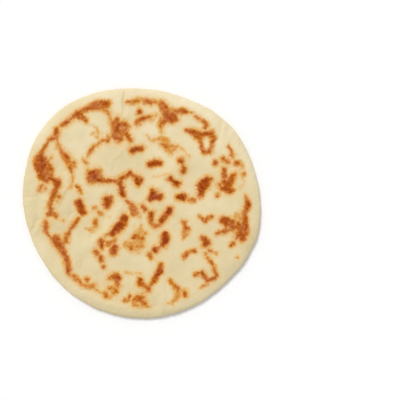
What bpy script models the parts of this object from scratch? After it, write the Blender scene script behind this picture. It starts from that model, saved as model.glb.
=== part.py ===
# A round, flat pita bread, baked as one piece and lying on its flat underside.
# Metres, +Z up. The origin is the middle of the underside's box, +X is the widest way across.

import math

import bmesh
import bpy

# Overall size
BREAD_WIDTH = 0.246         # across X
BREAD_DEPTH = 0.238         # across Y
BREAD_THICKNESS = 0.0118    # underside to the highest puff

# The rim: a quarter ellipse below its widest line and a quarter ellipse above it
RIM_LINE_HEIGHT = 0.0045    # height of the widest line
SHOULDER_HEIGHT = 0.0092    # where the upper roll runs into the top
UPPER_ROLL_WIDTH = 0.014    # rim to shoulder, seen from above
LOWER_ROLL_WIDTH = 0.016    # rim to the edge of the flat foot
CROWN_RISE = 0.0012         # how far the middle of the top stands above the shoulder

# The outline: an even round with five soft bulges, each (bearing in degrees, rise, spread in degrees)
EVEN_REACH = 0.1180
RIM_BULGES = (
    (134, 0.0106, 22),
    (172, 0.0050, 24),
    (-14, 0.0064, 17),
    (12, 0.0020, 10),
    (38, 0.0052, 14),
)

# Puffs of the top, where steam lifted the crust, each (x, y, rise, spread)
PUFFS = (
    (-0.066, 0.064, 0.0009, 0.017),
    (-0.033, 0.045, 0.0008, 0.019),
    (-0.044, 0.086, 0.0006, 0.012),
    (-0.064, -0.046, 0.0008, 0.020),
    (0.050, 0.082, 0.0006, 0.015),
    (0.020, -0.020, 0.0007, 0.022),
    (0.078, -0.048, 0.0006, 0.020),
)

# Mesh fineness
BEARINGS = 72               # points round the rim
LOWER_ROLL_STEPS = 5
UPPER_ROLL_STEPS = 6
TOP_RINGS = 9               # rings between the shoulder and the middle

CRUST_COLOUR = (0.76, 0.57, 0.33, 1.0)
CRUST_ROUGHNESS = 0.8


def clear_scene():
    for old in list(bpy.data.objects):
        bpy.data.objects.remove(old, do_unlink=True)


def reach_at(bearing):
    """Distance from the middle to the rim at a bearing in degrees."""
    reach = EVEN_REACH
    for middle, rise, spread in RIM_BULGES:
        away = (bearing - middle + 180.0) % 360.0 - 180.0
        reach += rise * math.exp(-0.5 * (away / spread) ** 2)
    return reach


def rim_points():
    """The rim's points, fitted to the bread's width and depth and centred on the origin."""
    points = []
    for step in range(BEARINGS):
        bearing = 360.0 * step / BEARINGS
        reach = reach_at(bearing)
        turn = math.radians(bearing)
        points.append((reach * math.cos(turn), reach * math.sin(turn)))
    left, right = min(x for x, y in points), max(x for x, y in points)
    front, back = min(y for x, y in points), max(y for x, y in points)
    fitted = []
    for x, y in points:
        across = (x - (left + right) / 2) * BREAD_WIDTH / (right - left)
        along = (y - (front + back) / 2) * BREAD_DEPTH / (back - front)
        fitted.append((across, along))
    return fitted


def roll_profile():
    """(inset from the rim, height) from the foot's edge, round the rim, to the shoulder."""
    profile = []
    for step in range(LOWER_ROLL_STEPS):
        turn = math.pi / 2 * step / LOWER_ROLL_STEPS
        inset = LOWER_ROLL_WIDTH * (1 - math.sin(turn))
        profile.append((inset, RIM_LINE_HEIGHT * (1 - math.cos(turn))))
    roll_rise = SHOULDER_HEIGHT - RIM_LINE_HEIGHT
    for step in range(UPPER_ROLL_STEPS + 1):
        turn = math.pi / 2 * step / UPPER_ROLL_STEPS
        inset = UPPER_ROLL_WIDTH * (1 - math.cos(turn))
        profile.append((inset, RIM_LINE_HEIGHT + roll_rise * math.sin(turn)))
    return profile


def puff_height(x, y):
    height = 0.0
    for middle_x, middle_y, rise, spread in PUFFS:
        away = math.hypot(x - middle_x, y - middle_y)
        height += rise * math.exp(-0.5 * (away / spread) ** 2)
    return height


def top_height(x, y, share):
    """Height of the top at (x, y), share being 0 at the middle and 1 at the shoulder."""
    inward = 1 - share * share
    return SHOULDER_HEIGHT + CROWN_RISE * inward + puff_height(x, y) * min(1.0, 4 * inward)


def add_ring(mesh, points):
    """One closed loop of edges through the points."""
    corners = [mesh.verts.new(point) for point in points]
    return [mesh.edges.new((corners[i - 1], corners[i])) for i in range(len(corners))]


def build_bread():
    mesh = bmesh.new()
    rim = rim_points()
    rings = []

    for inset, height in roll_profile():
        points = []
        for x, y in rim:
            share = 1 - inset / math.hypot(x, y)
            points.append((x * share, y * share, height))
        rings.append(add_ring(mesh, points))

    for step in range(1, TOP_RINGS):
        share = 1 - step / TOP_RINGS
        points = []
        for x, y in rim:
            reach = share * (1 - UPPER_ROLL_WIDTH / math.hypot(x, y))
            points.append((x * reach, y * reach, top_height(x * reach, y * reach, share)))
        rings.append(add_ring(mesh, points))

    for lower, upper in zip(rings, rings[1:]):
        bmesh.ops.bridge_loops(mesh, edges=lower + upper)
    bmesh.ops.contextual_create(mesh, geom=rings[0])

    # The innermost ring closes on one raised point in the middle
    cap = bmesh.ops.contextual_create(mesh, geom=rings[-1])["faces"]
    middle = bmesh.ops.poke(mesh, faces=cap)["verts"][0]
    middle.co = (0.0, 0.0, top_height(0.0, 0.0, 0.0))

    highest = max(vert.co.z for vert in mesh.verts)
    for vert in mesh.verts:
        vert.co.z *= BREAD_THICKNESS / highest
    bmesh.ops.recalc_face_normals(mesh, faces=mesh.faces)

    data = bpy.data.meshes.new("pita_bread")
    mesh.to_mesh(data)
    mesh.free()
    data.shade_smooth()
    bread = bpy.data.objects.new("pita_bread", data)
    bpy.context.scene.collection.objects.link(bread)
    return bread


def crust_material():
    crust = bpy.data.materials.new("baked_crust")
    crust.use_nodes = True
    shader = crust.node_tree.nodes["Principled BSDF"]
    shader.inputs["Base Color"].default_value = CRUST_COLOUR
    shader.inputs["Roughness"].default_value = CRUST_ROUGHNESS
    shader.inputs["Metallic"].default_value = 0.0
    return crust


clear_scene()
pita_bread = build_bread()
pita_bread.data.materials.append(crust_material())
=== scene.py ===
# Looks for a round, flat pita bread: rolled rim, puffed skin, griddle marks and a plain pale set.
import math

import bpy
import numpy as np
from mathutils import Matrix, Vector


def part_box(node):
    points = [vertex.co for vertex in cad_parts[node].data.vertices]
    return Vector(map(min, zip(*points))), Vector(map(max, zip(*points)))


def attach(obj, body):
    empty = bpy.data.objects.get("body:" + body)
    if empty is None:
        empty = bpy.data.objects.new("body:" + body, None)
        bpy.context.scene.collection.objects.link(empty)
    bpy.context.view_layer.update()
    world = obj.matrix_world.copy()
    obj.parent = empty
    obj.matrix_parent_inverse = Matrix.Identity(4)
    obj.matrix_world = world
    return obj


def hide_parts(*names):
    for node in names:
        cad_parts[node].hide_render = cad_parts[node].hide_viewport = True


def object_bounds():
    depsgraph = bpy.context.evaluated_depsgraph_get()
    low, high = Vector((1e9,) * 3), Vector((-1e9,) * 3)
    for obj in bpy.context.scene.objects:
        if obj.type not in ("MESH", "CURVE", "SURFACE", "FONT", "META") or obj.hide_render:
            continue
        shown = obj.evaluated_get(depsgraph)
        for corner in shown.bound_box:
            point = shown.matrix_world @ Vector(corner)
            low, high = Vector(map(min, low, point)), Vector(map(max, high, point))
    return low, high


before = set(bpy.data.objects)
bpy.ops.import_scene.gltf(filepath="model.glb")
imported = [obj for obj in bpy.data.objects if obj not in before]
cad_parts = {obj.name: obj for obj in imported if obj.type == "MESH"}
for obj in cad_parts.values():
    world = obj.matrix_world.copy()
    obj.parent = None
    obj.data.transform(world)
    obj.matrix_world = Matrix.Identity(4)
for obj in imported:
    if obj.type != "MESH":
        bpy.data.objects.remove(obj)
cadLow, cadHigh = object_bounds()
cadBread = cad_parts["pita_bread"]
mm = 0.001


def eased(share):
    # level at both ends, so that neighbouring cells of noise join without a crease
    return share ** 3 * (share * (share * 6 - 15) + 10)


def softNoise(x, y, size, seed):
    # values from 0 to 1 that change smoothly over a distance of about size
    cells = 256
    lattice = np.random.default_rng(seed).random((cells, cells))
    shiftU, shiftV = 91.3, 57.9     # keeps the bread off the lattice's own middle
    turn = 0.7 + seed               # each seed's cells lie at their own angle
    u = (x * math.cos(turn) - y * math.sin(turn)) / size + shiftU
    v = (x * math.sin(turn) + y * math.cos(turn)) / size + shiftV
    column, row = np.floor(u).astype(int), np.floor(v).astype(int)
    acrossCell, upCell = eased(u - column), eased(v - row)
    near, far = column % cells, (column + 1) % cells
    low, high = row % cells, (row + 1) % cells
    bottom = lattice[near, low] * (1 - acrossCell) + lattice[far, low] * acrossCell
    top = lattice[near, high] * (1 - acrossCell) + lattice[far, high] * acrossCell
    return bottom * (1 - upCell) + top * upCell


def layeredNoise(x, y, size, seed, layers=3):
    # several sizes of soft noise together, centred on 0, mostly within -1 to 1
    fade, spread = 0.55, 1.5        # weight of each layer beside the one before; overall gain
    total, weight, sumOfWeights = 0.0, 1.0, 0.0
    for layer in range(layers):
        total = total + weight * (softNoise(x, y, size / 2 ** layer, seed + layer) * 2 - 1)
        sumOfWeights += weight
        weight *= fade
    return total * spread / sumOfWeights


def smoothStep(low, high, value):
    share = np.clip((value - low) / (high - low), 0, 1)
    return share * share * (3 - 2 * share)


def strokeDistance(x, y, points):
    # signed distance to a stroke's edge, its points being (x, y, full width); negative inside
    farAway, tiny = 1e3, 1e-9       # tiny keeps a stroke of one point from dividing by nothing
    nearest = np.full(x.shape, farAway)
    ends = points[1:] if len(points) > 1 else points
    for (startX, startY, startWidth), (endX, endY, endWidth) in zip(points, ends):
        alongX, alongY = endX - startX, endY - startY
        lengthSquared = alongX ** 2 + alongY ** 2 + tiny
        share = np.clip(((x - startX) * alongX + (y - startY) * alongY) / lengthSquared, 0, 1)
        away = np.hypot(x - startX - share * alongX, y - startY - share * alongY)
        nearest = np.minimum(nearest, away - (startWidth + share * (endWidth - startWidth)) / 2)
    return nearest


# griddle marks of the top, each (heat, raggedness, points), the points being (x, y, full width)
# in millimetres from the middle; heat 1 is dark rust, 0.5 orange and 0.3 a light tan lace
griddleMarks = {
    "upperLeftBand": [
        (0.74, 0.2, [(-34, 104, 7), (-37, 102, 10), (-41, 102, 12), (-47, 101, 11), (-53, 99, 8),
                     (-59, 96, 6), (-65, 92, 8), (-70, 89, 4.5), (-73, 87, 3)]),
        (0.70, 0.6, [(-71, 87.5, 3), (-75, 84, 4), (-79, 82.5, 4), (-83, 80.5, 2.5)]),
        (0.60, 0.4, [(-38, 97, 5), (-35, 94, 4), (-32.5, 89, 3), (-31, 86, 4)]),
        (0.70, 0.3, [(-64, 90, 9), (-61, 88, 7), (-57, 85, 5)]),
    ],
    "leftChain": [
        (0.72, 0.2, [(-86, 78, 3), (-88, 74, 7), (-89, 69, 7), (-94, 66, 4), (-97, 62, 4),
                     (-100, 56, 5), (-103, 51, 7), (-105, 45, 12)]),
        (0.78, 0.2, [(-105, 44, 13), (-103, 37, 14), (-101, 31, 15), (-98, 26, 11), (-92, 25, 5),
                     (-87, 22, 8), (-86, 19, 8)]),
        (0.66, 0.3, [(-100, 46, 7), (-97, 40, 8), (-95, 34, 9), (-94, 28, 8)]),
        (0.76, 0.3, [(-88, 15, 5), (-89, 11, 6), (-92, 7, 6), (-93.5, 1, 6), (-94, -5, 7),
                     (-95, -11, 6)]),
        (0.88, 0.1, [(-85, 6, 3.8)]),
        (0.44, 0.3, [(-87, 1, 3)]),
        (0.88, 0.2, [(-105, 13.5, 4), (-102.5, 18, 4)]),
        (0.40, 0.4, [(-99, 15, 4)]),
        (0.66, 0.3, [(-91, -10, 3), (-88, -14, 4.5)]),
        (0.70, 0.2, [(-98, -18, 4), (-99, -25, 7), (-99, -28, 6), (-96, -33, 3), (-93, -36, 3)]),
        (0.70, 0.2, [(-88, -34, 6), (-88, -39, 11), (-84, -44, 10), (-81, -51, 7), (-77, -59, 8),
                     (-75, -65, 7), (-75, -71, 6)]),
        (1.00, 0.1, [(-84, -43, 7), (-82, -46, 6)]),
        (0.58, 0.4, [(-75, -72, 5), (-70, -76, 6), (-64, -81, 5), (-60, -84, 4.5),
                     (-55, -85, 4.5), (-52, -86, 4.5), (-49, -85, 5)]),
        (0.77, 0.2, [(-56, -78, 5), (-56, -80, 5)]),
        (0.80, 0.1, [(-49, -86, 3.5)]),
        (0.62, 0.1, [(-64, -82.5, 3)]),
    ],
    "innerLeftLine": [
        (0.60, 0.3, [(-87, 70, 5), (-86, 63, 3), (-85, 57, 3.5), (-82, 52, 6), (-78, 48, 5)]),
        (0.74, 0.2, [(-78, 49.5, 5), (-75.5, 46, 6)]),
        (0.46, 0.4, [(-82, 52, 7), (-77, 44, 6), (-74, 40, 7)]),
        (0.50, 0.6, [(-76, 43, 5), (-70, 42, 6)]),
        (0.44, 0.6, [(-75, 39, 6), (-70, 39, 5)]),
        (0.74, 0.4, [(-73.5, 37, 5), (-72, 33, 3)]),
        (0.42, 0.7, [(-72, 33, 3), (-71, 31, 3), (-70, 25, 3), (-71, 20, 3), (-73, 15, 4)]),
        (0.60, 0.3, [(-66, 18, 4), (-64, 14, 5), (-62, 11, 4)]),
        (0.22, 0.3, [(-57, 83, 2), (-52, 82, 2), (-48, 79, 3)]),
        (0.32, 0.5, [(-46, 78, 3), (-45, 73, 5), (-46, 69, 4)]),
        (0.44, 0.5, [(-50, 72, 4)]),
    ],
    "arcToTheMiddle": [
        (0.50, 0.5, [(-34, 69, 5), (-33, 66, 5)]),
        (0.62, 0.4, [(-35, 64, 5), (-40, 64, 5), (-44, 61, 4)]),
        (0.64, 0.3, [(-45, 60, 4), (-49, 58, 5), (-52, 55, 6), (-54, 51, 4)]),
        (0.40, 0.5, [(-54, 51, 4), (-56, 48, 3)]),
        (0.48, 0.4, [(-60, 46, 3), (-58, 43, 4), (-56, 41, 3)]),
    ],
    "upperMiddleBlotch": [
        (0.64, 0.15, [(-25, 85, 9), (-26, 82, 11), (-27, 76, 9), (-25, 70, 13), (-24, 68, 12)]),
        (0.70, 0.3, [(-28, 77, 6), (-24, 76, 6)]),
        (0.92, 0.1, [(-25, 67, 6), (-21, 66, 6)]),
        (0.77, 0.1, [(-22, 82, 7), (-17, 81, 7), (-14, 80, 5)]),
        (0.56, 0.1, [(-20, 79, 10), (-18, 75, 10), (-18, 72, 7)]),
        (0.73, 0.2, [(-17, 73, 5), (-14, 69, 7), (-12, 66, 6), (-10, 64, 4)]),
    ],
    "topMiddle": [
        (0.56, 0.2, [(-15, 104.5, 5), (-9, 105, 6), (-4, 106, 6)]),
        (0.46, 0.3, [(-4, 108.5, 3.5), (1, 107.5, 3)]),
        (0.92, 0.1, [(-2, 94, 6.5)]),
        (0.62, 0.3, [(-4, 83, 6), (-1, 86, 5)]),
        (0.36, 0.5, [(-4, 81, 3), (-4, 78, 2)]),
        (0.98, 0.2, [(2, 87, 5.5), (4.5, 88, 4.5)]),
        (0.62, 0.3, [(6, 89, 4), (10, 90, 3), (14, 90.5, 2.5)]),
        (0.26, 0.5, [(6, 86, 5), (12, 86.5, 5)]),
        (0.66, 0.3, [(5, 105, 8), (10, 104, 6)]),
        (0.54, 0.3, [(11, 104.5, 5), (18, 104, 5)]),
        (0.70, 0.3, [(21.5, 102, 9), (23, 99, 10), (25, 94, 10), (26, 91, 10)]),
        (0.68, 0.2, [(28, 89, 13), (34, 87, 11)]),
        (0.56, 0.3, [(27, 95, 8), (35, 94.5, 7)]),
        (0.70, 0.3, [(35, 94, 6), (42, 95, 7), (48, 94.5, 5), (52, 93, 3)]),
        (0.62, 0.3, [(24, 86, 8), (21.5, 83, 8)]),
        (0.58, 0.3, [(20.5, 82, 6), (20.5, 77, 4.5), (20.5, 73, 2)]),
    ],
    "upperRightArc": [
        (0.66, 0.3, [(56, 90, 3), (60, 87, 4), (64, 84, 5), (66, 81, 6), (65, 78, 4)]),
        (0.18, 0.5, [(68, 79, 3), (72, 75, 4)]),
        (0.76, 0.2, [(46, 75, 3), (51, 74, 7), (57, 71, 10), (61, 69, 9), (66, 71, 7)]),
        (0.74, 0.3, [(66, 71, 5), (72, 71, 8), (75, 68, 5), (73, 62, 5), (72, 57, 5), (70, 53, 5),
                     (66, 52, 4), (63, 54, 5), (61, 59, 4), (60, 64, 4), (60, 67, 5)]),
        (0.72, 0.2, [(90.5, 58, 4), (93, 54, 3.8), (93.5, 50.5, 4), (94.5, 47, 2.5)]),
    ],
    "lightLace": [
        (0.34, 0.5, [(5, 70, 3), (8, 67, 4)]),
        (0.36, 0.4, [(12, 64, 4), (17, 65.5, 5), (21, 66.5, 6)]),
        (0.34, 0.4, [(21, 66, 7), (27, 64, 7)]),
        (0.42, 0.4, [(21, 61, 6), (26, 58, 9), (31, 56, 10), (30, 53, 7)]),
        (0.62, 0.4, [(22, 60, 4), (26, 58, 4), (31, 57.5, 5), (36, 58.5, 4)]),
        (0.26, 0.5, [(38, 58, 3), (45, 53, 2), (49, 50, 3), (49, 47, 3)]),
        (0.17, 0.2, [(13, 27, 5), (21, 28.5, 5), (28, 30, 4)]),
        (0.68, 0.3, [(-50, -5.5, 2.5), (-46, -5, 3)]),
        (0.52, 0.3, [(-43, -9, 5), (-41.5, -11, 5)]),
        (0.62, 0.3, [(-46, -18, 4), (-47, -22, 6)]),
        (0.33, 0.5, [(-49, -25, 5), (-52, -28, 6)]),
        (0.34, 0.4, [(-17, -72, 3), (-11, -72, 4)]),
        (0.40, 0.4, [(-5, -72, 2), (-1, -72, 3)]),
        (0.58, 0.7, [(99, -56, 4)]),
    ],
    "middleLeft": [
        (0.92, 0.2, [(-51, 31, 9), (-49, 28, 9)]),
        (0.66, 0.3, [(-53, 33, 6), (-53, 25, 8), (-49, 24, 8)]),
        (0.60, 0.3, [(-48, 33, 7), (-43, 33, 6)]),
        (0.66, 0.2, [(-46, 29, 9), (-43, 27, 8)]),
        (0.92, 0.2, [(-48, 25, 6), (-42, 24, 6), (-35, 23, 5), (-28, 23, 5), (-22, 22, 5)]),
        (1.00, 0.2, [(-23, 22, 5), (-21, 17, 5), (-20, 11, 6), (-19, 8, 5)]),
        (0.94, 0.2, [(-22, 25, 4), (-17, 28, 5), (-12, 31, 6)]),
        (0.80, 0.2, [(-10, 30, 4.5), (-6, 27, 6)]),
        (1.00, 0.2, [(-4, 24, 8), (-2.5, 22.5, 9)]),
        (0.96, 0.1, [(-9, 55, 7), (-4, 56, 6), (0, 56, 6)]),
        (0.76, 0.2, [(-9, 52, 4)]),
        (0.80, 0.1, [(-35.5, 4, 8.5), (-34.5, 1, 9.5), (-35, -2, 7.5)]),
        (0.68, 0.2, [(-33, 5, 6), (-31, 6, 4)]),
        (0.88, 0.1, [(-64, 0, 8.5), (-62.5, -4, 9.5), (-60, -8.5, 8)]),
        (0.74, 0.2, [(-64, -15, 4), (-67, -19, 4), (-70, -23, 6), (-74, -28, 4), (-77, -34, 6.5),
                     (-78, -40, 4), (-82, -43, 3)]),
        (0.66, 0.15, [(-16, 2, 3), (-11.5, -1, 5), (-7.5, -6, 8), (-8, -10.5, 6.5)]),
        (0.50, 0.4, [(-6, -7, 4), (-4, -8, 4), (-3, -13, 3)]),
    ],
    "darkDiagonal": [
        (1.00, 0.1, [(-17, -15, 8), (-20, -21, 10), (-24, -26, 10), (-29, -31, 8)]),
        (0.56, 0.3, [(-32, -31, 5), (-36, -33, 5)]),
        (0.76, 0.2, [(-41.5, -40, 7.5), (-41, -43, 6.5), (-40.5, -47, 4)]),
        (0.48, 0.6, [(-38, -42, 5), (-33, -42, 7), (-29, -39, 6), (-27, -36, 4)]),
        (0.77, 0.2, [(-27.5, -46, 8), (-29, -50, 8)]),
        (0.28, 0.7, [(-24, -53, 3), (-26, -50, 3)]),
        (0.66, 0.2, [(-48, -49.5, 5), (-46.5, -51.5, 6)]),
        (0.34, 0.3, [(-45, -53, 4), (-43, -55, 4)]),
        (0.62, 0.2, [(-42, -56, 5.5), (-41.5, -59, 5.5)]),
        (0.70, 0.1, [(-40, -66, 4), (-39, -66, 4)]),
    ],
    "middleDots": [
        (1.00, 0.1, [(9, 40, 6.5), (14, 41, 8.5), (19, 41, 6)]),
        (0.84, 0.2, [(41, 44, 7)]),
        (0.50, 0.3, [(42, 42, 3), (43, 37, 4)]),
        (0.98, 0.2, [(44, 36, 5), (43, 33, 6)]),
        (0.96, 0.2, [(30, 25, 6), (33, 22, 4), (36, 20, 8), (39, 21, 4)]),
        (0.79, 0.2, [(12, 13, 7), (12.5, 8, 9), (9, 4, 7)]),
        (0.78, 0.2, [(14, 7, 8), (19.5, 6.5, 7)]),
        (0.92, 0.1, [(38, 6, 6), (42, 6, 9), (45, 7, 6)]),
        (0.84, 0.4, [(49, 3, 3.5), (54, 3, 4.5)]),
        (1.00, 0.1, [(2, -3.5, 5), (4, -5.5, 5)]),
        (0.78, 0.2, [(76.5, 41.5, 6)]),
        (0.86, 0.2, [(84, 45, 5), (87, 43.5, 4), (91, 42.5, 4)]),
        (0.72, 0.3, [(97, 42, 4), (99, 41, 6), (102, 39.5, 3.5), (103.5, 37.5, 2.5)]),
        (0.66, 0.2, [(105, 30, 4.5)]),
        (0.24, 0.4, [(105, 25, 3), (107, 21, 3), (102, 17, 3)]),
    ],
    "rightBlotches": [
        (1.00, 0.2, [(68, 23.5, 8), (65, 20, 11), (62, 15, 10), (60.5, 8, 6)]),
        (0.80, 0.3, [(71, 24, 5), (58, 18, 4)]),
        (0.68, 0.2, [(85.5, 35, 6), (85, 31, 6.5), (87, 27, 5)]),
        (0.78, 0.3, [(96.5, 29.5, 5), (94, 26, 7), (92, 22, 9), (89, 19, 10)]),
        (0.82, 0.3, [(86, 22, 6), (87, 17, 8), (91, 13.5, 8), (94, 13, 5)]),
        (0.66, 0.4, [(80.5, 19, 5), (83, 16, 6)]),
        (0.78, 0.5, [(80, 9, 3), (78, 7, 3)]),
        (0.74, 0.2, [(107.5, 8, 3), (109, 4, 5), (110, 0, 7), (108, -7, 6)]),
    ],
    "rightLace": [
        (0.80, 0.2, [(108, -7, 6), (107, -12, 6), (107, -18, 6), (106, -25, 10), (105, -31, 12),
                     (104, -36, 9)]),
        (0.76, 0.4, [(84, -17, 7), (89, -18, 9), (94, -20, 8)]),
        (0.68, 0.5, [(94, -20, 7), (99, -21, 7), (102, -26, 8)]),
        (0.30, 0.5, [(98, -13, 6), (103, -16, 7)]),
        (0.68, 0.7, [(88, -23, 7), (94, -24, 9), (100, -27, 10)]),
        (0.48, 0.6, [(88, -26, 5), (92, -27, 6), (97, -30, 6)]),
        (0.66, 0.4, [(78, -31, 4), (82, -30, 5), (87, -29, 6), (92, -27, 6)]),
        (0.84, 0.4, [(98, -36, 5), (101, -33, 7)]),
        (0.94, 0.2, [(95, -42, 4), (92, -44, 3)]),
    ],
    "lowerRight": [
        (0.54, 0.3, [(42, -18.5, 4), (45, -21, 6), (46, -26, 8), (45, -32, 8), (44, -36, 4)]),
        (0.84, 0.2, [(47.5, -26, 6)]),
        (0.78, 0.3, [(64, -37, 8), (67, -40, 9), (65, -44, 6)]),
        (0.66, 0.5, [(70, -49, 4), (77, -51, 4)]),
        (0.66, 0.5, [(66, -53, 4), (71, -60, 5), (75, -67, 5), (78, -74, 5)]),
        (0.70, 0.4, [(56, -73, 6), (62, -71, 6), (68, -79, 5), (75, -77, 5)]),
        (0.54, 0.5, [(61, -88, 3), (65, -85, 4), (68, -84, 4)]),
        (0.66, 0.4, [(44, -55, 6), (50, -50, 5), (56, -49, 4)]),
        (0.62, 0.5, [(72, -14, 6), (66, -18, 6), (60, -14, 4)]),
    ],
    "lowerMiddle": [
        (0.78, 0.2, [(10.5, -10.5, 5), (9.5, -15, 6), (10, -19, 5.5)]),
        (0.66, 0.2, [(11, -21, 5), (15, -23.5, 5), (19, -21, 5)]),
        (0.98, 0.2, [(20, -19, 6), (25, -13, 8), (28, -10, 8), (29.5, -7, 7)]),
        (0.94, 0.1, [(25, -33, 9), (24, -38, 10), (22, -42, 7)]),
        (0.90, 0.3, [(20, -44, 3.5), (17, -46, 3.5)]),
        (0.86, 0.2, [(14.5, -48, 6.8)]),
        (0.80, 0.2, [(9, -53, 6), (10, -56, 4)]),
        (0.78, 0.2, [(20, -64, 7), (19, -69, 8), (16, -76, 6), (13, -80, 5)]),
        (0.60, 0.5, [(13, -80, 4), (8, -86, 5), (6, -90, 4), (1, -94, 3)]),
        (0.80, 0.2, [(-1, -78.5, 5.5), (-0.5, -83, 8)]),
        (0.64, 0.2, [(3, -86, 6), (7.5, -88, 7)]),
        (0.68, 0.3, [(-4, -97, 5), (-6, -100, 8), (-1, -99, 7), (2, -97, 4)]),
        (0.62, 0.3, [(0.5, -102.5, 6), (3.5, -105, 6.5)]),
        (0.58, 0.4, [(-7, -105, 5), (-3, -105, 4), (8, -107, 3)]),
        (0.72, 0.3, [(-18, -101, 4), (-14, -99, 5), (-12, -96, 3)]),
        (0.32, 0.4, [(0, -24, 4), (-1, -30, 11), (-2, -38, 13), (-4, -44, 12)]),
        (0.38, 0.3, [(-16, -42, 6), (-9, -44, 8)]),
        (0.66, 0.2, [(-8, -36, 5), (-5, -34, 8), (-3, -36, 6)]),
        (0.56, 0.4, [(-3, -35, 4), (1, -36, 6)]),
        (0.80, 0.3, [(4.5, -31, 4)]),
        (0.44, 0.4, [(-16, -42, 4), (-13, -42, 4)]),
        (0.64, 0.4, [(-10, -46, 5)]),
        (0.46, 0.3, [(-5, -44, 5), (0, -44, 6)]),
        (0.20, 0.3, [(-3, -51, 4)]),
    ],
    "specks": [
        (0.90, 0.0, [(-81, -18.5, 1.6)]),
        (0.40, 0.0, [(-57, -26, 1.4)]),
        (0.30, 0.0, [(-33, -14, 1.4)]),
        (0.20, 0.0, [(-7, -23, 1.2)]),
        (0.90, 0.0, [(-93, 46.5, 2)]),
        (0.12, 0.0, [(-95, 44, 4)]),
    ],
    "bottomMarks": [
        (0.78, 0.2, [(-29, -76, 5), (-26, -75, 8), (-24, -77, 7.5)]),
        (0.48, 0.3, [(-33, -77.5, 6)]),
        (0.60, 0.2, [(-25.5, -79.5, 6.5), (-25, -85, 6.5), (-27, -91, 5)]),
        (0.50, 0.4, [(-33, -88, 5), (-28, -88, 5), (-24, -86, 4)]),
        (0.74, 0.2, [(-33, -88, 3)]),
        (0.76, 0.2, [(-37, -94, 6)]),
        (0.36, 0.4, [(-37, -97, 4), (-32, -96, 4), (-28, -93, 4)]),
        (0.48, 0.3, [(-29, -93, 4)]),
        (0.40, 0.6, [(-48, -87, 2), (-43, -92, 2), (-40, -93, 2)]),
        (0.70, 0.3, [(29, -80, 4), (34, -84, 5), (38, -89, 6)]),
        (0.54, 0.4, [(37, -91, 6), (37, -97, 5), (34, -101, 5)]),
        (0.80, 0.2, [(45, -94, 7)]),
        (0.44, 0.4, [(40, -92, 4), (43, -90, 3)]),
        (0.34, 0.4, [(28, -103, 3), (33, -104, 4)]),
    ],
}

# how the marks spread; distances in millimetres
markLook = {
    "bend": 0.6,                # how far the strokes bend
    "fineBend": 0.45,           # and how far in their small turns
    "lobes": 0.6,               # how far their edges swell in and out
    "leastBeads": 0.1,          # beading of an even edge
    "raggedBeads": 0.8,         # what raggedness adds to it
    "holes": 0.55,              # how pale the holes of a ragged mark get
    "fadeOutside": 2.4,         # where a mark begins, outside its edge
    "fadeInside": 3.1,          # where it is fully browned, inside its edge
    "fringe": 0.215,            # orange fringe round a mark, as a share of its heat
    "fringeReach": 2.7,
    "glow": 0.064,              # faint warmth of the skin between neighbouring marks
    "glowReach": 7,
    "glowLimit": 1.6,           # the most that marks near one place count together
    "patches": 0.22,            # how much the browning changes inside a mark
}


def fading(edge, reach):
    # falls from 1 at an edge to nearly nothing at twice the reach
    return np.exp(-(np.maximum(edge, 0) / reach) ** 2)


def markHeat(x, y):
    # browning of the top from 0 to 1 at places in millimetres
    look = markLook
    warpedX = x + look["bend"] * layeredNoise(x, y, size=9, seed=11, layers=2)
    warpedX = warpedX + look["fineBend"] * layeredNoise(x, y, size=3.5, seed=21, layers=2)
    warpedY = y + look["bend"] * layeredNoise(x, y, size=9, seed=31, layers=2)
    warpedY = warpedY + look["fineBend"] * layeredNoise(x, y, size=3.5, seed=41, layers=2)
    lobes = layeredNoise(x, y, size=5, seed=51, layers=2)
    beads = layeredNoise(x, y, size=2.6, seed=181, layers=2)
    patches = layeredNoise(x, y, size=4.5, seed=171, layers=2)
    heat, glow = np.zeros(x.shape), np.zeros(x.shape)
    for strokes in griddleMarks.values():
        for warmth, ragged, points in strokes:
            edge = strokeDistance(warpedX, warpedY, points)
            edge = edge - look["lobes"] * lobes
            edge = edge - (look["leastBeads"] + look["raggedBeads"] * ragged) * beads
            body = warmth * smoothStep(-look["fadeOutside"], look["fadeInside"], -edge)
            fringe = look["fringe"] * warmth * fading(edge, look["fringeReach"])
            holes = 1 - ragged * look["holes"] * smoothStep(0.1, 0.9, -beads)
            heat = np.maximum(heat, np.maximum(body * holes, fringe))
            glow = glow + warmth * fading(edge, look["glowReach"])
    warmed = look["glow"] * np.minimum(glow, look["glowLimit"]) * (1 - heat)
    return np.clip(heat * (1 + look["patches"] * patches) + warmed, 0, 1)


# pale blisters between the marks: (x, y, radius, rise) in millimetres; a negative rise is a dimple
blisters = [
    (-67, 65, 19, 0.55), (-33, 44, 19, 0.45), (-45, 84, 11, 0.35), (-64, -44, 17, 0.5),
    (50, 82, 12, 0.4), (66, 60, 5, -0.35), (-87, 44, 9, 0.35), (-40, 12, 13, 0.3),
    (-5, 70, 9, 0.25), (8, 22, 11, 0.3), (55, 50, 15, 0.35), (27, -62, 11, 0.35),
    (-12, -58, 14, 0.35), (-52, -66, 11, 0.3), (45, -8, 12, 0.3), (100, 5, 9, 0.25),
    (88, -62, 13, 0.35), (-84, -24, 10, 0.4), (-52, -12, 10, 0.25), (12, -98, 9, 0.25),
]

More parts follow.
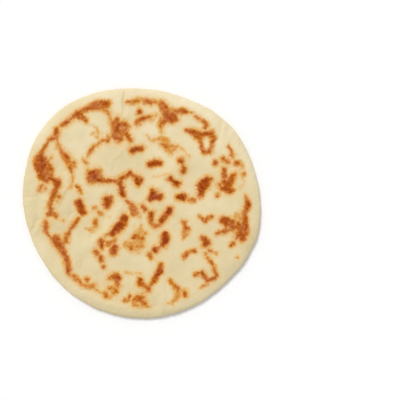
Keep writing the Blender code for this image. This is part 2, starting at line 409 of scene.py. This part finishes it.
# ridges and grooves of the skin: (rise, half width, points) in millimetres; a groove's rise is
# negative
creases = [
    # the groove at the top edge and the swelling beside it
    (-1.8, 1.2, [(-17.5, 114), (-17.5, 104), (-18, 97), (-18, 92)]),
    (0.6, 3.0, [(-12, 108), (-12, 98), (-14, 90)]),
    # the pinched fold at the left edge
    (-0.6, 1.3, [(-121, 7), (-114, 6.5), (-108, 6.5)]),
    (-0.7, 2.2, [(-106, 10), (-100, 9)]),
    (0.7, 2.2, [(-101, 4), (-96, 3)]),
    (0.9, 3.0, [(-117, 1), (-116, -12), (-113, -24)]),
    (-1.15, 3.2, [(-107, 3), (-107, -12), (-109, -18)]),
    (-1.2, 1.2, [(-114, -31), (-110, -23), (-106, -16)]),
    (0.85, 2.2, [(-109, -30), (-104, -20)]),
    # wrinkles inside the left chain of marks
    (0.7, 2.0, [(-79, 29), (-76, 24), (-75, 18), (-79, 12), (-81, 6)]),
    (-0.7, 2.2, [(-78, 9), (-81, 2), (-83, -3)]),
    (0.6, 3.5, [(-71, 8), (-75, 0), (-76, -8)]),
    (-0.5, 1.6, [(-71, -10), (-74, -14)]),
    (0.75, 2.2, [(-83, -23), (-80, -29)]),
    (-0.6, 1.8, [(-90, -24), (-87, -29)]),
    # edges of the blisters
    (0.5, 1.4, [(-80, 76), (-77, 72), (-75, 66)]),
    (-0.5, 1.8, [(-77, 70), (-76, 64), (-73, 60)]),
    (0.6, 1.5, [(-31, 59), (-24, 58), (-20, 54), (-24, 49), (-29, 46)]),
    (-0.7, 1.1, [(-28, 39), (-28, 34)]),
    (-0.5, 1.2, [(-35, 46), (-34, 37)]),
    (0.5, 2.0, [(-54, 83), (-46, 83), (-41, 80)]),
    # long soft ridges across the middle
    (0.75, 3.5, [(-21, -3), (-29, -17), (-38, -29), (-48, -40)]),
    (-0.5, 3.5, [(-33, -5), (-38, -17), (-44, -27)]),
    (0.65, 3.0, [(28, 16), (28, 4), (31, -3)]),
    (0.5, 3.0, [(-55, -33), (-56, -40)]),
    (-0.7, 1.0, [(-62, -60), (-61.5, -68)]),
    (-0.5, 1.0, [(-66, -61), (-65, -67)]),
    # the fold at the upper right edge
    (-0.9, 1.1, [(70, 97), (77, 90.5), (84, 83.5), (91, 78), (98, 69)]),
    (0.5, 2.2, [(64, 99), (72, 92), (80, 87)]),
    (-0.8, 1.4, [(82.5, 81), (81, 73), (79.5, 64)]),
    (0.85, 2.6, [(86, 80), (86, 73), (88, 62)]),
    (0.6, 3.5, [(72, 16), (73, 6)]),
    (0.6, 3.5, [(100, 6), (101, -6)]),
    # the lower edge
    (0.7, 2.6, [(22, -82), (23, -96), (21, -112)]),
    (-0.6, 3.5, [(15, -84), (16, -96), (15, -106)]),
    (-0.6, 1.2, [(-62, -90), (-56, -90), (-46, -91)]),
    (0.6, 3.0, [(-52, -98), (-34, -106), (-18, -107)]),
]

# lengths in metres, heights of the section as shares of the thickness
breadShape = {
    "upperRoll": 0.0135,        # rim to shoulder, seen from above
    "lowerRoll": 0.0155,        # rim to the edge of the flat foot
    "rimLine": 0.37,            # height of the widest line
    "shoulder": 0.76,           # height where the upper roll meets the top
    "crown": 0.09,              # extra height in the middle of the top
    "topRings": 135,
    "topStep": 6,               # points that each ring has more than the one inside it
    "underRings": 81,
    "underStep": 10,
    "rimWander": 0.0005,        # how far the rim strays from an even line
    "rollChange": 0.12,         # how much the roll's width changes round the bread
    "rimLift": 0.0006,          # how much the rim's height changes round the bread
    "rimBumps": 0.00028,        # small bumps of the rim
    "fineBumps": 0.4,           # finer ones on them, as a share
    "swell": 0.0007,            # broad waves of the top
    "ripple": 0.00022,          # small waves of the top
    "ridgeRise": 0.00035,       # browned skin stands this proud of the pale skin
    "ridgeGain": 1.6,           # how soon it stands fully proud
    "creaseBend": 0.0008,       # how far ridges and grooves stray from their lines
    "reliefFade": 0.7,          # how the relief of the top dies away over the roll
    "dents": 0.00035,           # hollows of the underside
    "rimScorch": 0.35,          # share of the underside's browning that reaches the rim
}


def topRelief(x, y, heat):
    # height in metres over the plain crown, for places in millimetres
    shape = breadShape
    relief = shape["swell"] / mm * layeredNoise(x, y, size=38, seed=61, layers=2)
    relief = relief + shape["ripple"] / mm * layeredNoise(x, y, size=8, seed=71)
    relief = relief + shape["ridgeRise"] / mm * np.clip(heat * shape["ridgeGain"], 0, 1)
    for middleX, middleY, radius, rise in blisters:
        away = np.hypot(x - middleX, y - middleY) / radius
        relief = relief + rise * np.clip(1 - away ** 2, 0, 1) ** 2
    bentX = x + shape["creaseBend"] / mm * layeredNoise(x, y, size=8, seed=191, layers=2)
    bentY = y + shape["creaseBend"] / mm * layeredNoise(x, y, size=8, seed=201, layers=2)
    for rise, halfWidth, points in creases:
        away = strokeDistance(bentX, bentY, [(pointX, pointY, 0) for pointX, pointY in points])
        relief = relief + rise * np.exp(-(away / halfWidth) ** 2)
    return relief * mm


def rimOutline(solid):
    # the rim of a solid as a smooth reach at any bearing
    harmonics = 12
    levelGap = 0.02 * mm        # points this near the widest line's height belong to it
    corners = np.array([vert.co for vert in solid.data.vertices])
    reach = np.hypot(corners[:, 0], corners[:, 1])
    rimHeight = corners[np.argmax(reach), 2]
    rim = np.abs(corners[:, 2] - rimHeight) < levelGap

    def waves(bearing):
        columns = [np.ones_like(bearing)]
        for order in range(1, harmonics + 1):
            columns += [np.cos(order * bearing), np.sin(order * bearing)]
        return np.column_stack(columns)

    bearings = np.arctan2(corners[rim, 1], corners[rim, 0])
    weights = np.linalg.lstsq(waves(bearings), reach[rim], rcond=None)[0]
    return lambda bearing: waves(bearing) @ weights


def discPattern(rings, step):
    # points of an even disc as (ring, bearing), and the triangles between them, anticlockwise
    starts = [0] + [1 + step * ring * (ring - 1) // 2 for ring in range(1, rings + 1)]
    ringOf, bearingOf, faces = [np.zeros(1)], [np.zeros(1)], []
    for ring in range(1, rings + 1):
        count = step * ring
        place = np.arange(count)
        ringOf.append(np.full(count, float(ring)))
        bearingOf.append(place * 2 * math.pi / count)
        sector, along = place // ring, place % ring
        innerCount = max(step * (ring - 1), 1)
        inner = starts[ring - 1] + (sector * (ring - 1) + along) % innerCount
        nextInner = starts[ring - 1] + (sector * (ring - 1) + along + 1) % innerCount
        outer, nextOuter = starts[ring] + place, starts[ring] + (place + 1) % count
        faces.append(np.column_stack([inner, outer, nextOuter]))
        hasSecond = along < ring - 1
        faces.append(np.column_stack([inner, nextOuter, nextInner])[hasSecond])
    return np.concatenate(ringOf), np.concatenate(bearingOf), np.concatenate(faces)


def rimNoise(bearing, size, seed, layers=2):
    # noise read round one circle, in millimetres, so that both sides agree at the rim
    circle = 120
    return layeredNoise(np.cos(bearing) * circle, np.sin(bearing) * circle, size, seed, layers)


def rollSurface(ring, bearing, rings, reachAt, rollWidth):
    # spreads the disc over the flat part and the roll beside it; turn runs from 0 on the flat
    # part to a quarter turn at the rim
    shape = breadShape
    reach = reachAt(bearing) + shape["rimWander"] * rimNoise(bearing, size=17, seed=81, layers=3)
    width = rollWidth * (1 + shape["rollChange"] * rimNoise(bearing, size=30, seed=91))
    travel = ring / rings * (reach - width + width * math.pi / 2)
    turn = np.clip((travel - (reach - width)) / width, 0, math.pi / 2)
    radius = np.where(turn > 0, reach - width * (1 - np.sin(turn)), travel)
    x, y = radius * np.cos(bearing) / mm, radius * np.sin(bearing) / mm
    bumps = layeredNoise(x, y, size=9, seed=211)
    bumps = bumps + shape["fineBumps"] * layeredNoise(x, y, size=2.6, seed=271, layers=2)
    bumps = shape["rimBumps"] * bumps
    radius = radius + bumps * np.sin(turn)
    return radius, turn, bumps, reach - width


bakingLayout = {
    "radius": 0.288,            # each side is a disc in the square map
    "topMiddle": 0.295,
    "underMiddle": 0.705,
}


def bakingMap(ring, bearing, rings, reachAt, middle):
    # one side of the bread laid out as a disc in the map
    widest = reachAt(np.linspace(0, 2 * math.pi, 90)).max()
    reach = bakingLayout["radius"] * (ring / rings * reachAt(bearing) / widest)
    return np.column_stack([middle + reach * np.cos(bearing), middle + reach * np.sin(bearing)])


def topSide(reachAt, thickness):
    shape = breadShape
    ring, bearing, faces = discPattern(shape["topRings"], shape["topStep"])
    radius, turn, bumps, flatReach = rollSurface(
        ring, bearing, shape["topRings"], reachAt, shape["upperRoll"])
    x, y = radius * np.cos(bearing), radius * np.sin(bearing)
    heat = markHeat(x / mm, y / mm) * np.cos(turn)
    lift = shape["rimLift"] * rimNoise(bearing, size=34, seed=101)
    rimHeight = shape["rimLine"] * thickness + 0.5 * lift
    shoulder = shape["shoulder"] * thickness + lift
    inward = 1 - np.clip(radius / flatReach, 0, 1) ** 2
    height = rimHeight + (shoulder - rimHeight) * np.cos(turn)
    height = height + shape["crown"] * thickness * inward
    height = height + topRelief(x / mm, y / mm, heat) * np.cos(turn) ** shape["reliefFade"]
    height = height + bumps * np.sin(turn) * np.cos(turn) * 2       # fullest halfway round
    layout = bakingMap(ring, bearing, shape["topRings"], reachAt, bakingLayout["topMiddle"])
    return {"points": np.column_stack([x, y, height]), "faces": faces, "heat": heat, "map": layout}


# browning of the underside; distances in millimetres
underMarks = {
    "bend": 2.5,                # how far lines and blotches wander
    "lineScale": 30,            # higher draws the broken lines narrower and harder
    "lineWidth": 5.5,           # reach of a line to each side, where it isn't broken
    "lineBeads": 1.3,
    "blotchLevel": 0.42,        # higher leaves fewer blotches
    "blotchScale": 17,          # higher hardens their edges
    "blotchBeads": 1.5,
    "reach": 108,               # nothing is browned further from the middle
    "reachWander": 5,
    "warmth": 0.66,
    "warmthDrift": 0.26,
    "fade": 2.2,                # width of a mark's soft edge, to each side
    "fringe": 0.26,
    "fringeReach": 3.4,
    "toasted": 0.14,            # faint browning between the marks
    "patches": 0.28,            # how much the browning changes inside a mark
}


def underHeat(x, y):
    # browning from 0 to 1: broken lines round the places that stood off the griddle, and blotches
    look = underMarks
    bentX = x + look["bend"] * layeredNoise(x, y, size=14, seed=131)
    bentY = y + look["bend"] * layeredNoise(x, y, size=14, seed=141)
    beads = layeredNoise(x, y, size=3, seed=121, layers=2)
    lines = np.abs(layeredNoise(bentX, bentY, size=44, seed=111, layers=2))
    lineAway = lines * look["lineScale"] + look["lineBeads"] * beads
    breaks = smoothStep(-0.5, 0.9, layeredNoise(x, y, size=26, seed=221, layers=2))
    blotches = look["blotchLevel"] - layeredNoise(bentX, bentY, size=17, seed=231, layers=2)
    blotchAway = blotches * look["blotchScale"] + look["blotchBeads"] * beads
    edge = np.minimum(lineAway - look["lineWidth"] * breaks, blotchAway)
    wander = look["reachWander"] * layeredNoise(x, y, size=25, seed=241, layers=2)
    edge = np.maximum(edge, np.hypot(x, y) - look["reach"] + wander)
    drift = look["warmthDrift"] * layeredNoise(x, y, size=16, seed=251, layers=2)
    warmth = look["warmth"] + drift
    body = warmth * smoothStep(-look["fade"], look["fade"], -edge)
    fringe = look["fringe"] * warmth * fading(edge, look["fringeReach"])
    toasted = look["toasted"] * smoothStep(-0.2, 0.8, layeredNoise(x, y, size=30, seed=261))
    patches = 1 + look["patches"] * layeredNoise(x, y, size=4.5, seed=171, layers=2)
    return np.clip(np.maximum(body, fringe) * patches + toasted * (1 - body), 0, 1)


def underSide(reachAt, thickness):
    shape = breadShape
    ring, bearing, faces = discPattern(shape["underRings"], shape["underStep"])
    radius, turn, bumps, _ = rollSurface(
        ring, bearing, shape["underRings"], reachAt, shape["lowerRoll"])
    x, y = radius * np.cos(bearing), radius * np.sin(bearing)
    lift = shape["rimLift"] * rimNoise(bearing, size=34, seed=101)
    rimHeight = shape["rimLine"] * thickness + 0.5 * lift
    dents = shape["dents"] * np.clip(layeredNoise(x / mm, y / mm, size=15, seed=151), 0, 1)
    height = rimHeight * (1 - np.cos(turn)) + dents * np.cos(turn)
    height = height - bumps * np.sin(turn) * np.cos(turn)
    scorchLeft = shape["rimScorch"] + (1 - shape["rimScorch"]) * np.cos(turn)
    heat = underHeat(x / mm, y / mm) * scorchLeft
    layout = bakingMap(ring, bearing, shape["underRings"], reachAt, bakingLayout["underMiddle"])
    return {"points": np.column_stack([x, y, height]), "faces": faces, "heat": heat, "map": layout}


def joinSides(top, under):
    # the underside's outermost ring is the top's outermost ring
    rimCount = breadShape["topRings"] * breadShape["topStep"]
    topCount, underCount = len(top["points"]), len(under["points"])
    topInner, underInner = topCount - rimCount, underCount - rimCount
    renumber = np.arange(underCount) + topCount
    renumber[underInner:] = np.arange(topInner, topCount)
    points = np.concatenate([top["points"], under["points"][:underInner]])
    faces = np.concatenate([top["faces"], renumber[under["faces"]][:, ::-1]])
    heat = np.concatenate([top["heat"], under["heat"][:underInner]])
    heat[topInner:topCount] = under["heat"][underInner:]
    onTop = np.concatenate([np.ones(topCount), np.zeros(underInner)])
    placed = np.concatenate([top["map"][top["faces"]], under["map"][under["faces"]][:, ::-1]])
    return points, faces, heat, onTop, placed.reshape(-1, 2)


# lighter and darker areas of the pale skin: (x, y, radius, change), in millimetres; some are its
# own tone, some are painted light on the rim at the lower left and back, and painted shade on the
# rim at the right
toneAndPaintedLightAreas = [
    (-32, 47, 26, -0.34), (-42, 90, 15, -0.26), (102, 8, 24, -0.28), (-88, -22, 24, -0.28),
    (110, -34, 20, -0.42), (-84, 10, 16, -0.22), (-82, -80, 28, 0.2), (58, 86, 26, 0.16),
    (-2, 72, 14, 0.2), (0, 106, 16, 0.14), (46, 54, 14, -0.18), (20, -8, 16, -0.2),
    (52, 14, 14, 0.1), (52, 106, 18, 0.25), (-106, -52, 20, 0.3), (-70, -94, 20, 0.2),
    (88, 12, 16, -0.2), (-90, 28, 12, -0.25),
]

# places where the browning is a thin yellow lace: (x, y, radius), in millimetres
ochreAreas = [
    (22, 62, 26), (-6, -38, 19), (-48, -16, 18), (-33, -91, 16), (38, -94, 18),
    (-74, 37, 15), (-66, 14, 10), (2, -90, 22), (-56, -82, 13), (-14, -72, 14),
    (102, 24, 12),
]


def skinToneAndPaintedLight(x, y):
    # tone of the pale skin, 0 for buff and 1 for near white, with painted light in it: lighter
    # towards the back edge, the side the key light comes from, and lighter and darker on parts of
    # the rim
    middleTone, paintedLightSlope, mottle = 0.47, 0.0026, 0.2       # the slope paints light: its change in a millimetre
    # painted light: the skin grows lighter towards the back edge
    tone = middleTone + paintedLightSlope * (0.25 * x + 0.9 * y)
    tone = tone + mottle * layeredNoise(x, y, size=30, seed=161)
    # some of these areas are painted light and painted shade on the rim
    for middleX, middleY, radius, change in toneAndPaintedLightAreas:
        away = np.hypot(x - middleX, y - middleY) / radius
        tone = tone + change * np.clip(1 - away ** 2, 0, 1) ** 1.5
    return tone


def ochreShare(x, y):
    # 1 inside the yellow places, falling to 0 a little past their radius
    share = np.zeros(x.shape)
    for middleX, middleY, radius in ochreAreas:
        away = np.hypot(x - middleX, y - middleY) / radius
        share = np.maximum(share, smoothStep(1.15, 0.7, away))
    return share


def makeBread():
    reachAt = rimOutline(cadBread)
    boxLow, boxHigh = (np.array(corner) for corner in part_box("pita_bread"))
    thickness = boxHigh[2] - boxLow[2]
    points, faces, heat, onTop, placed = joinSides(
        topSide(reachAt, thickness), underSide(reachAt, thickness))
    lowest, highest = points.min(0), points.max(0)
    points = (points - lowest) / (highest - lowest) * (boxHigh - boxLow) + boxLow

    mesh = bpy.data.meshes.new("bakedBread")
    mesh.from_pydata(points.tolist(), [], faces.tolist())
    mesh.uv_layers.new(name="OFBake").data.foreach_set("uv", placed.ravel())
    x, y = points[:, 0] / mm, points[:, 1] / mm
    # the pale attribute carries the skin's tone together with its painted light and painted shade
    tones = {"scorch": heat, "ochre": ochreShare(x, y) * onTop, "pale": skinToneAndPaintedLight(x, y)}
    for name, values in tones.items():
        attribute = mesh.attributes.new(name, "FLOAT", "POINT")
        attribute.data.foreach_set("value", values.astype(np.float32))
    mesh.shade_smooth()
    mesh.update()
    bread = bpy.data.objects.new("bakedBread", mesh)
    bpy.context.scene.collection.objects.link(bread)
    print("bread:", len(points), "points,", len(faces), "triangles")
    return bread


def joinInput(tree, value, socket):
    # a socket is linked and a plain value is set
    if isinstance(value, bpy.types.NodeSocket):
        tree.links.new(value, socket)
    else:
        socket.default_value = value


def addNode(tree, kind, inputs=None, **settings):
    node = tree.nodes.new(kind)
    for name, value in settings.items():
        setattr(node, name, value)
    for name, value in (inputs or {}).items():
        joinInput(tree, value, node.inputs[name])
    return node


def mathNode(tree, operation, first, second=0.0, clamp=False):
    node = addNode(tree, "ShaderNodeMath", {0: first, 1: second}, operation=operation)
    node.use_clamp = clamp
    return node.outputs[0]


def mixColour(tree, share, first, second):
    node = addNode(tree, "ShaderNodeMix", data_type="RGBA")
    for name, value in (("Factor_Float", share), ("A_Color", first), ("B_Color", second)):
        joinInput(tree, value, next(item for item in node.inputs if item.identifier == name))
    return next(item for item in node.outputs if item.identifier == "Result_Color")


def rampNode(tree, share, stops):
    node = addNode(tree, "ShaderNodeValToRGB", {"Fac": share})
    ramp = node.color_ramp
    ramp.elements[0].position, ramp.elements[1].position = stops[0][0], stops[-1][0]
    ramp.elements[0].color, ramp.elements[1].color = stops[0][1], stops[-1][1]
    for position, colour in stops[1:-1]:
        ramp.elements.new(position).color = colour
    return node.outputs["Color"]


def rangeNode(tree, value, fromLow, fromHigh, toLow=0.0, toHigh=1.0):
    node = addNode(tree, "ShaderNodeMapRange", {"Value": value, "From Min": fromLow,
                                                "From Max": fromHigh, "To Min": toLow,
                                                "To Max": toHigh})
    return node.outputs["Result"]


def noiseNode(tree, place, scale, detail=3.0, roughness=0.55):
    node = addNode(tree, "ShaderNodeTexNoise", {"Vector": place, "Scale": scale,
                                                "Detail": detail, "Roughness": roughness})
    return node.outputs["Fac"]


def tint(code):
    # a linear colour from a hex code as painters write it
    channels = [int(code[place:place + 2], 16) / 255 for place in (0, 2, 4)]
    linear = [((c + 0.055) / 1.055) ** 2.4 if c > 0.04045 else c / 12.92 for c in channels]
    return (*linear, 1.0)


def groupTree(name, inputs, output):
    # an empty shader node group, its Place a vector and its other inputs and its output values
    tree = bpy.data.node_groups.new(name, "ShaderNodeTree")
    tree.interface.new_socket(name="Place", in_out="INPUT", socket_type="NodeSocketVector")
    for label in inputs:
        tree.interface.new_socket(name=label, in_out="INPUT", socket_type="NodeSocketFloat")
    tree.interface.new_socket(name=output, in_out="OUTPUT", socket_type="NodeSocketFloat")
    return tree, tree.nodes.new("NodeGroupInput").outputs


def speckleGroup():
    # frays a mask with grain of two sizes; marks stronger than fullMask fray in full
    tree, source = groupTree("frayedMask", ("Mask", "Grain Scale", "Fray"), "Mask")
    fineness, fullMask = 3.1, 0.5
    coarse = noiseNode(tree, source["Place"], source["Grain Scale"], 2.0)
    fineScale = mathNode(tree, "MULTIPLY", source["Grain Scale"], fineness)
    fine = noiseNode(tree, source["Place"], fineScale, 2.0)
    coarseGrain = mathNode(tree, "SUBTRACT", coarse, 0.5)
    grain = mathNode(tree, "ADD", coarseGrain, mathNode(tree, "SUBTRACT", fine, 0.5))
    masked = mathNode(tree, "MULTIPLY", source["Mask"], 1 / fullMask, clamp=True)
    grain = mathNode(tree, "MULTIPLY", grain, mathNode(tree, "MULTIPLY", source["Fray"], masked))
    frayed = mathNode(tree, "ADD", source["Mask"], grain, clamp=True)
    tree.links.new(frayed, tree.nodes.new("NodeGroupOutput").inputs["Mask"])
    return tree


def skinGroup():
    # height of bread skin: soft wrinkles, small pits and a fine tooth
    tree, source = groupTree("breadSkin", ("Wrinkle Scale", "Pits"), "Height")
    toothFineness, toothHeight, pitFineness, pitNarrowness = 5.0, 0.35, 1.7, 4.0
    wrinkle = noiseNode(tree, source["Place"], source["Wrinkle Scale"])
    toothScale = mathNode(tree, "MULTIPLY", source["Wrinkle Scale"], toothFineness)
    tooth = noiseNode(tree, source["Place"], toothScale, 2.0)
    pitScale = mathNode(tree, "MULTIPLY", source["Wrinkle Scale"], pitFineness)
    pits = addNode(tree, "ShaderNodeTexVoronoi", {"Vector": source["Place"], "Scale": pitScale})
    pitEdge = mathNode(tree, "MULTIPLY", pits.outputs["Distance"], pitNarrowness, clamp=True)
    pitDepth = mathNode(tree, "MULTIPLY", mathNode(tree, "SUBTRACT", 1.0, pitEdge), source["Pits"])
    height = mathNode(tree, "ADD", wrinkle, mathNode(tree, "MULTIPLY", tooth, toothHeight))
    height = mathNode(tree, "SUBTRACT", height, pitDepth)
    tree.links.new(height, tree.nodes.new("NodeGroupOutput").inputs["Height"])
    return tree


# scales are grains per metre
crustLook = {
    "cream": [(0.0, tint("d6c396")), (0.5, tint("e1d0a6")), (1.0, tint("ebdcb9"))],
    "creamMottle": 0.5,         # how much the cream varies within the broad light areas
    "creamScale": 60.0,
    "browning": [(0.0, tint("e4d0a0")), (0.1, tint("e2c590")), (0.2, tint("dfb678")),
                 (0.32, tint("daa55f")), (0.44, tint("d08d46")), (0.56, tint("c37534")),
                 (0.7, tint("b6621f")), (0.84, tint("a54c06")), (1.0, tint("8d3300"))],
    "browningStart": 0.02,      # heat where cream begins to give way to the browning
    "browningFull": 0.22,       # heat where it is gone
    "driftScale": 95.0,
    "hueDrift": 0.016,          # how far the browning drifts between ochre and red
    "strengthDrift": 0.16,      # how far its strength of colour drifts
    "ochreStrength": 0.024,     # how much stronger the colour of the yellow lace is
    "markGrain": 440.0,         # grain that frays the browning
    "markFray": 0.6,
    "wrinkleScale": 420.0,
    "pitDepth": 0.25,           # beside a wrinkle's height of 1
    "bumpHeight": 0.00035,      # in metres
    "bumpStrength": 0.6,
    "paleRoughness": 0.82,
    "brownRoughness": 0.62,
    "brownestHeat": 0.8,        # heat where the roughness has fallen to the browned one
    "shine": 0.12,
}


def makeCrust():
    look = crustLook
    crust = bpy.data.materials.new("bakedCrust")
    crust.use_nodes = True
    tree = crust.node_tree
    shader = tree.nodes["Principled BSDF"]
    place = tree.nodes.new("ShaderNodeTexCoord").outputs["Object"]
    scorch, ochre, pale = (addNode(tree, "ShaderNodeAttribute", attribute_name=name).outputs["Fac"]
                           for name in ("scorch", "ochre", "pale"))

    frayed = addNode(tree, "ShaderNodeGroup", node_tree=speckleGroup())
    for name, value in (("Place", place), ("Mask", scorch), ("Grain Scale", look["markGrain"]),
                        ("Fray", look["markFray"])):
        joinInput(tree, value, frayed.inputs[name])
    heat = frayed.outputs["Mask"]

    mottle = mathNode(tree, "SUBTRACT", noiseNode(tree, place, look["creamScale"], 4.0), 0.5)
    mottle = mathNode(tree, "MULTIPLY", mottle, look["creamMottle"])
    # the cream follows the pale attribute, so it shows that attribute's painted light and painted
    # shade
    cream = rampNode(tree, mathNode(tree, "ADD", pale, mottle), look["cream"])
    drift = mathNode(tree, "SUBTRACT", noiseNode(tree, place, look["driftScale"]), 0.5)
    hue = mathNode(tree, "ADD", 0.5, mathNode(tree, "MULTIPLY", drift, look["hueDrift"]))
    strength = mathNode(tree, "MULTIPLY", drift, look["strengthDrift"])
    strength = mathNode(tree, "ADD", 1.0, strength)
    ochreGain = mathNode(tree, "MULTIPLY", ochre, look["ochreStrength"])
    strength = mathNode(tree, "ADD", strength, ochreGain)
    browning = addNode(tree, "ShaderNodeHueSaturation",
                       {"Hue": hue, "Saturation": strength,
                        "Color": rampNode(tree, heat, look["browning"])}).outputs["Color"]
    share = rangeNode(tree, heat, look["browningStart"], look["browningFull"])
    tree.links.new(mixColour(tree, share, cream, browning), shader.inputs["Base Color"])

    skin = addNode(tree, "ShaderNodeGroup", node_tree=skinGroup())
    for name, value in (("Place", place), ("Wrinkle Scale", look["wrinkleScale"]),
                        ("Pits", look["pitDepth"])):
        joinInput(tree, value, skin.inputs[name])
    bump = addNode(tree, "ShaderNodeBump", {"Height": skin.outputs["Height"],
                                            "Strength": look["bumpStrength"],
                                            "Distance": look["bumpHeight"]})
    tree.links.new(bump.outputs["Normal"], shader.inputs["Normal"])
    roughness = rangeNode(tree, heat, 0.0, look["brownestHeat"], look["paleRoughness"],
                          look["brownRoughness"])
    tree.links.new(roughness, shader.inputs["Roughness"])
    shader.inputs["Specular IOR Level"].default_value = look["shine"]
    return crust


studio = {
    "floorHalf": 30.0,
    "floorGap": 0.0002,         # the floor lies this far under the bread
    "floorColour": (0.95, 0.95, 0.95, 1.0),
    "floorRoughness": 0.95,
    "floorShine": 0.1,
    "skyStrength": 0.60,        # light from all round
    "skySeen": 1.0,             # what the camera sees past the floor
    "keyBearing": 120,          # where the key light stands, anticlockwise from +X
    "keyHeight": 57,            # and how high, both in degrees
    "keyAway": 2,               # how far off it stands; its light is the same from anywhere
    "keySoftness": 24,          # its width in degrees
    "keyPower": 1.72,
}


def makeFloor():
    half, level = studio["floorHalf"], cadLow[2] - studio["floorGap"]
    corners = [(-half, -half, level), (half, -half, level), (half, half, level),
               (-half, half, level)]
    mesh = bpy.data.meshes.new("floor")
    mesh.from_pydata(corners, [], [(0, 1, 2, 3)])
    floor = bpy.data.objects.new("floor", mesh)
    bpy.context.scene.collection.objects.link(floor)
    paint = bpy.data.materials.new("paleSurface")
    paint.use_nodes = True
    shader = paint.node_tree.nodes["Principled BSDF"]
    shader.inputs["Base Color"].default_value = studio["floorColour"]
    shader.inputs["Roughness"].default_value = studio["floorRoughness"]
    shader.inputs["Specular IOR Level"].default_value = studio["floorShine"]
    mesh.materials.append(paint)


def makeLights():
    world = bpy.data.worlds.new("softRoom")
    world.use_nodes = True
    tree = world.node_tree
    seen = tree.nodes.new("ShaderNodeLightPath").outputs["Is Camera Ray"]
    strength = rangeNode(tree, seen, 0.0, 1.0, studio["skyStrength"], studio["skySeen"])
    tree.links.new(strength, tree.nodes["Background"].inputs["Strength"])
    tree.nodes["Background"].inputs["Color"].default_value = (1.0, 1.0, 1.0, 1.0)
    bpy.context.scene.world = world
    key = bpy.data.lights.new("key", "SUN")
    key.angle = math.radians(studio["keySoftness"])
    key.energy = studio["keyPower"]
    lamp = bpy.data.objects.new("key", key)
    heading, height = math.radians(studio["keyBearing"]), math.radians(studio["keyHeight"])
    towards = Vector((math.cos(heading) * math.cos(height),
                      math.sin(heading) * math.cos(height),
                      math.sin(height)))
    lamp.location = towards * studio["keyAway"]
    lamp.rotation_euler = towards.to_track_quat("Z", "Y").to_euler()
    bpy.context.scene.collection.objects.link(lamp)


viewFrame = {
    "middle": (0.0605, 0.0034),     # the bread lies left of the view's middle
    "across": 0.414,                # width seen at the height of the rim
    "away": 1.25,
    "filmWidth": 36.0,              # in millimetres
}


def makeCamera():
    lens = bpy.data.cameras.new("overhead")
    lens.sensor_width = viewFrame["filmWidth"]
    lens.lens = lens.sensor_width * viewFrame["away"] / viewFrame["across"]
    camera = bpy.data.objects.new("overhead", lens)
    middleX, middleY = viewFrame["middle"]
    rimLevel = cadLow[2] + breadShape["rimLine"] * (cadHigh[2] - cadLow[2])
    camera.location = (middleX, middleY, rimLevel + viewFrame["away"])
    bpy.context.scene.collection.objects.link(camera)
    bpy.context.scene.camera = camera
    bpy.context.scene.view_settings.view_transform = "Standard"


makeFloor()
makeLights()
makeCamera()
print("set: floor, lights and camera")

bread = makeBread()
bread.data.materials.append(makeCrust())
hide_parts("pita_bread")
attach(bread, "root")
print("bread: material and body")
